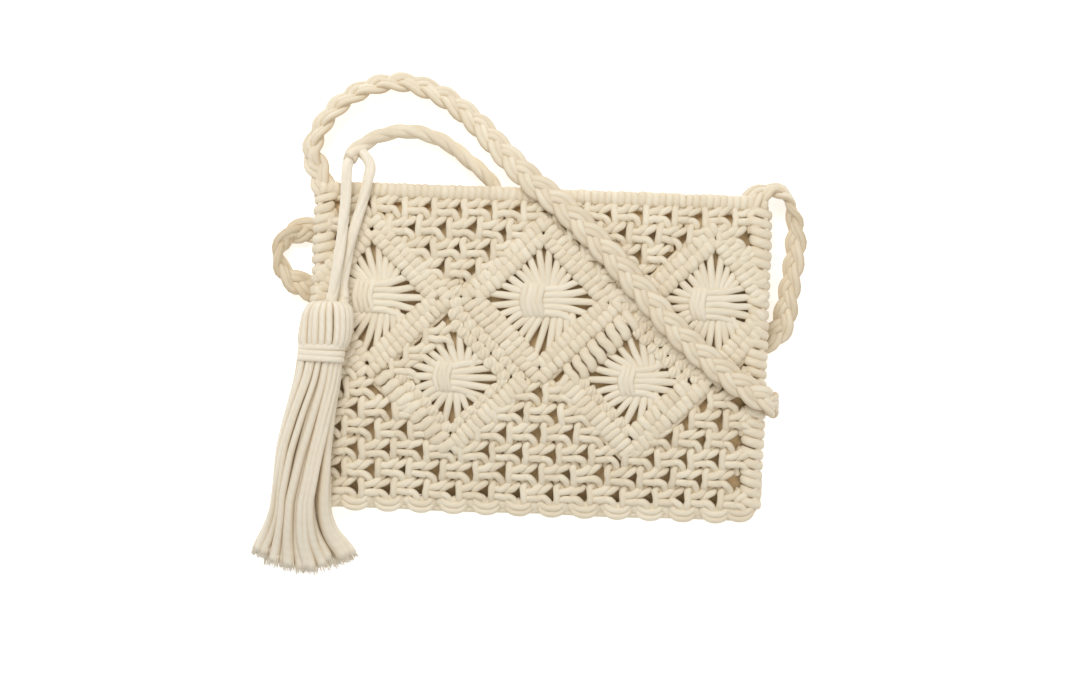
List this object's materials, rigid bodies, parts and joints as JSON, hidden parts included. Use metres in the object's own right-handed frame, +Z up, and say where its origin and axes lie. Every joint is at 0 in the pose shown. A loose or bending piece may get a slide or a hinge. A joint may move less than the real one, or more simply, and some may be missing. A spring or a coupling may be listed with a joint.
{
  "type": "macrame bag",
  "caption": "Flat knotted cotton bag lying on its back, with rope diamonds and sheaf knots on the front, a cloth lining, a braided shoulder strap laid round it and a tassel on a rope.",
  "frame": {"origin": "on the surface, under the middle of the box round the bag and its tassel", "axes": "+X toward the bag's right side as its front is seen, +Y toward the mouth, +Z up out of the front"},
  "size_m": [0.3302, 0.3065, 0.0505],
  "materials": {
    "cotton_cord": "matte",
    "tassel_cotton": "matte",
    "lining_cloth": "matte"
  },
  "bodies": {
    "root": {"front_net_upper": "cotton_cord", "front_net_lower": "cotton_cord", "diamond_bars": "cotton_cord", "star_left": "cotton_cord", "star_centre": "cotton_cord", "star_right": "cotton_cord", "star_low_left": "cotton_cord", "star_low_right": "cotton_cord", "back_net": "cotton_cord", "rim_back": "cotton_cord", "rim_front": "cotton_cord", "side_edge_left": "cotton_cord", "side_edge_right": "cotton_cord", "bottom_edge": "cotton_cord", "lining": "lining_cloth", "shoulder_strap": "cotton_cord", "tassel_rope": "cotton_cord", "hanger_left": "cotton_cord", "hanger_right": "cotton_cord", "tassel": "tassel_cotton", "tassel_band": "cotton_cord"}
  },
  "joints": []
}
